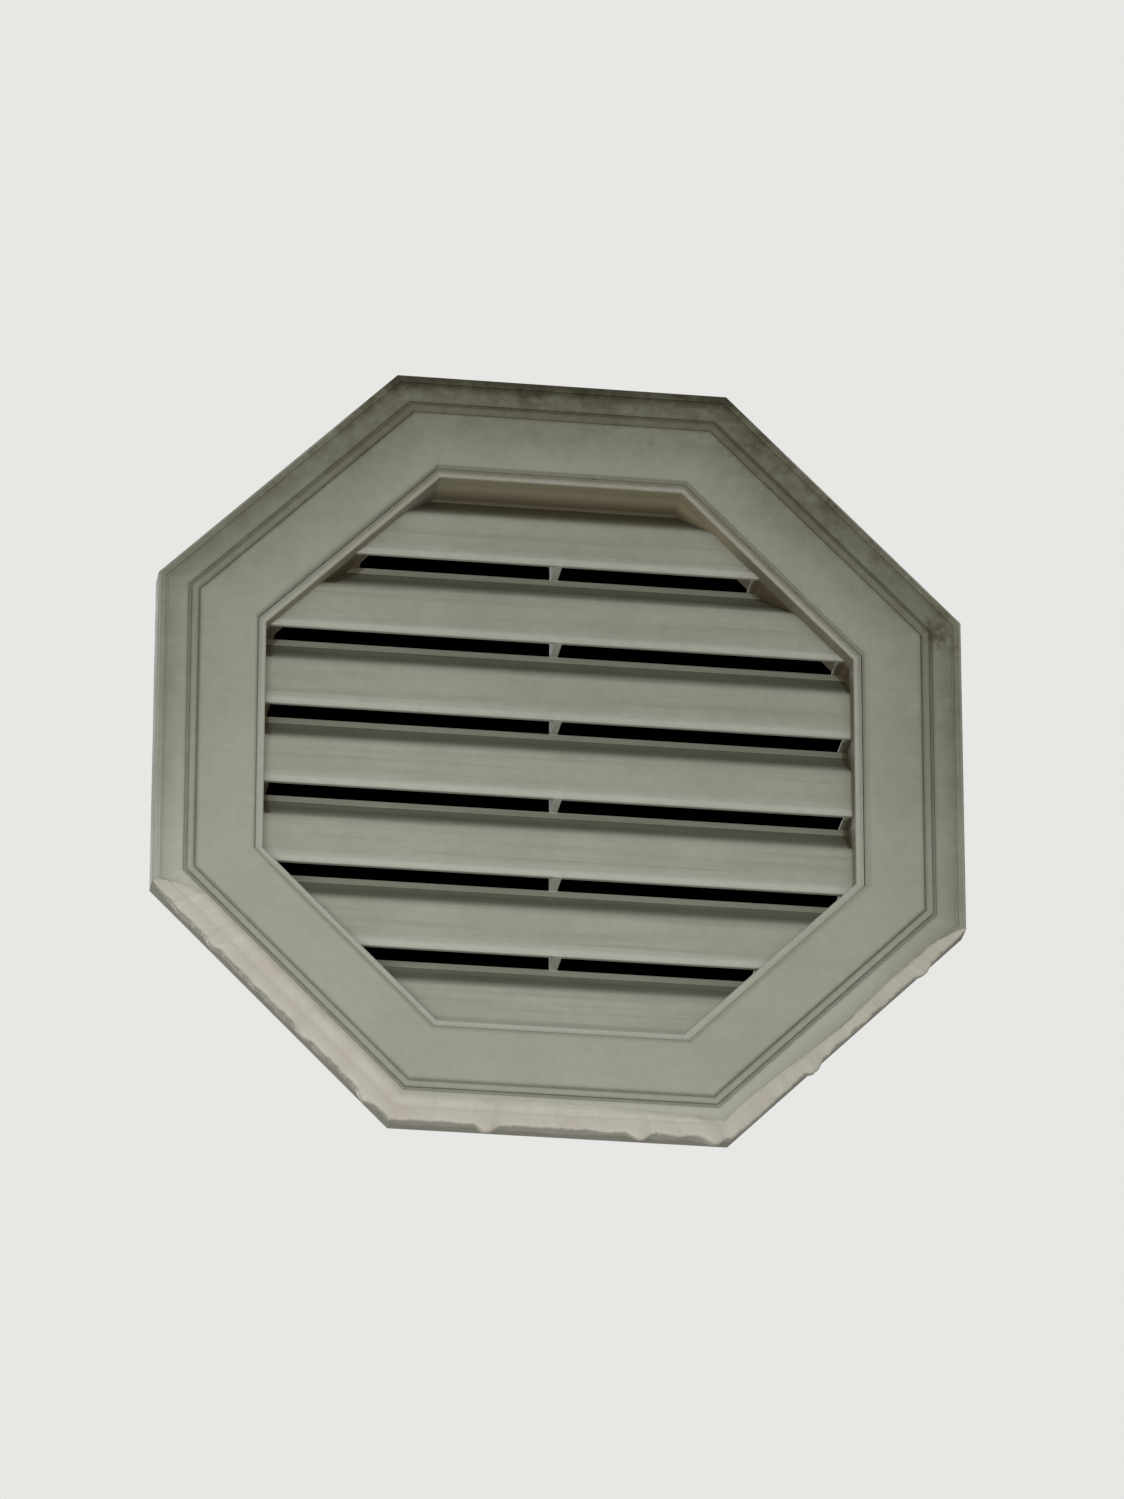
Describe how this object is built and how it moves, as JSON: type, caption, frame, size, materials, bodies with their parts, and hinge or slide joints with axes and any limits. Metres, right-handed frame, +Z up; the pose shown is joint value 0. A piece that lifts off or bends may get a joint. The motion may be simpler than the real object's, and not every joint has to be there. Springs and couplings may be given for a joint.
{
  "type": "octagonal gable vent",
  "caption": "Octagonal louvred gable vent: flanged frame, ogee louvres, press-fit trim ring with barbed tabs, insect screen and ragged sealant bead.",
  "frame": {"origin": "centre of the octagon in the plane of the nailing flange's back face", "axes": "-Y out of the wall towards the viewer, +Y into the wall, +Z up, +X to the right seen from the front"},
  "size_m": [0.557, 0.0503, 0.5645],
  "materials": {
    "panel_plastic": "matt weathered off-white, lightly streaked",
    "ring_plastic": "matt weathered off-white, grimy towards the upper edge",
    "screen_mesh": "dark woven mesh",
    "sealant": "satin, cured and lumpy"
  },
  "bodies": {
    "root": {"vent_frame": "panel_plastic", "louvre_1": "panel_plastic", "louvre_2": "panel_plastic", "louvre_3": "panel_plastic", "louvre_4": "panel_plastic", "louvre_5": "panel_plastic", "louvre_6": "panel_plastic", "louvre_7": "panel_plastic", "trim_ring": "ring_plastic", "insect_screen": "screen_mesh", "sealant_bead": "sealant"}
  },
  "joints": []
}
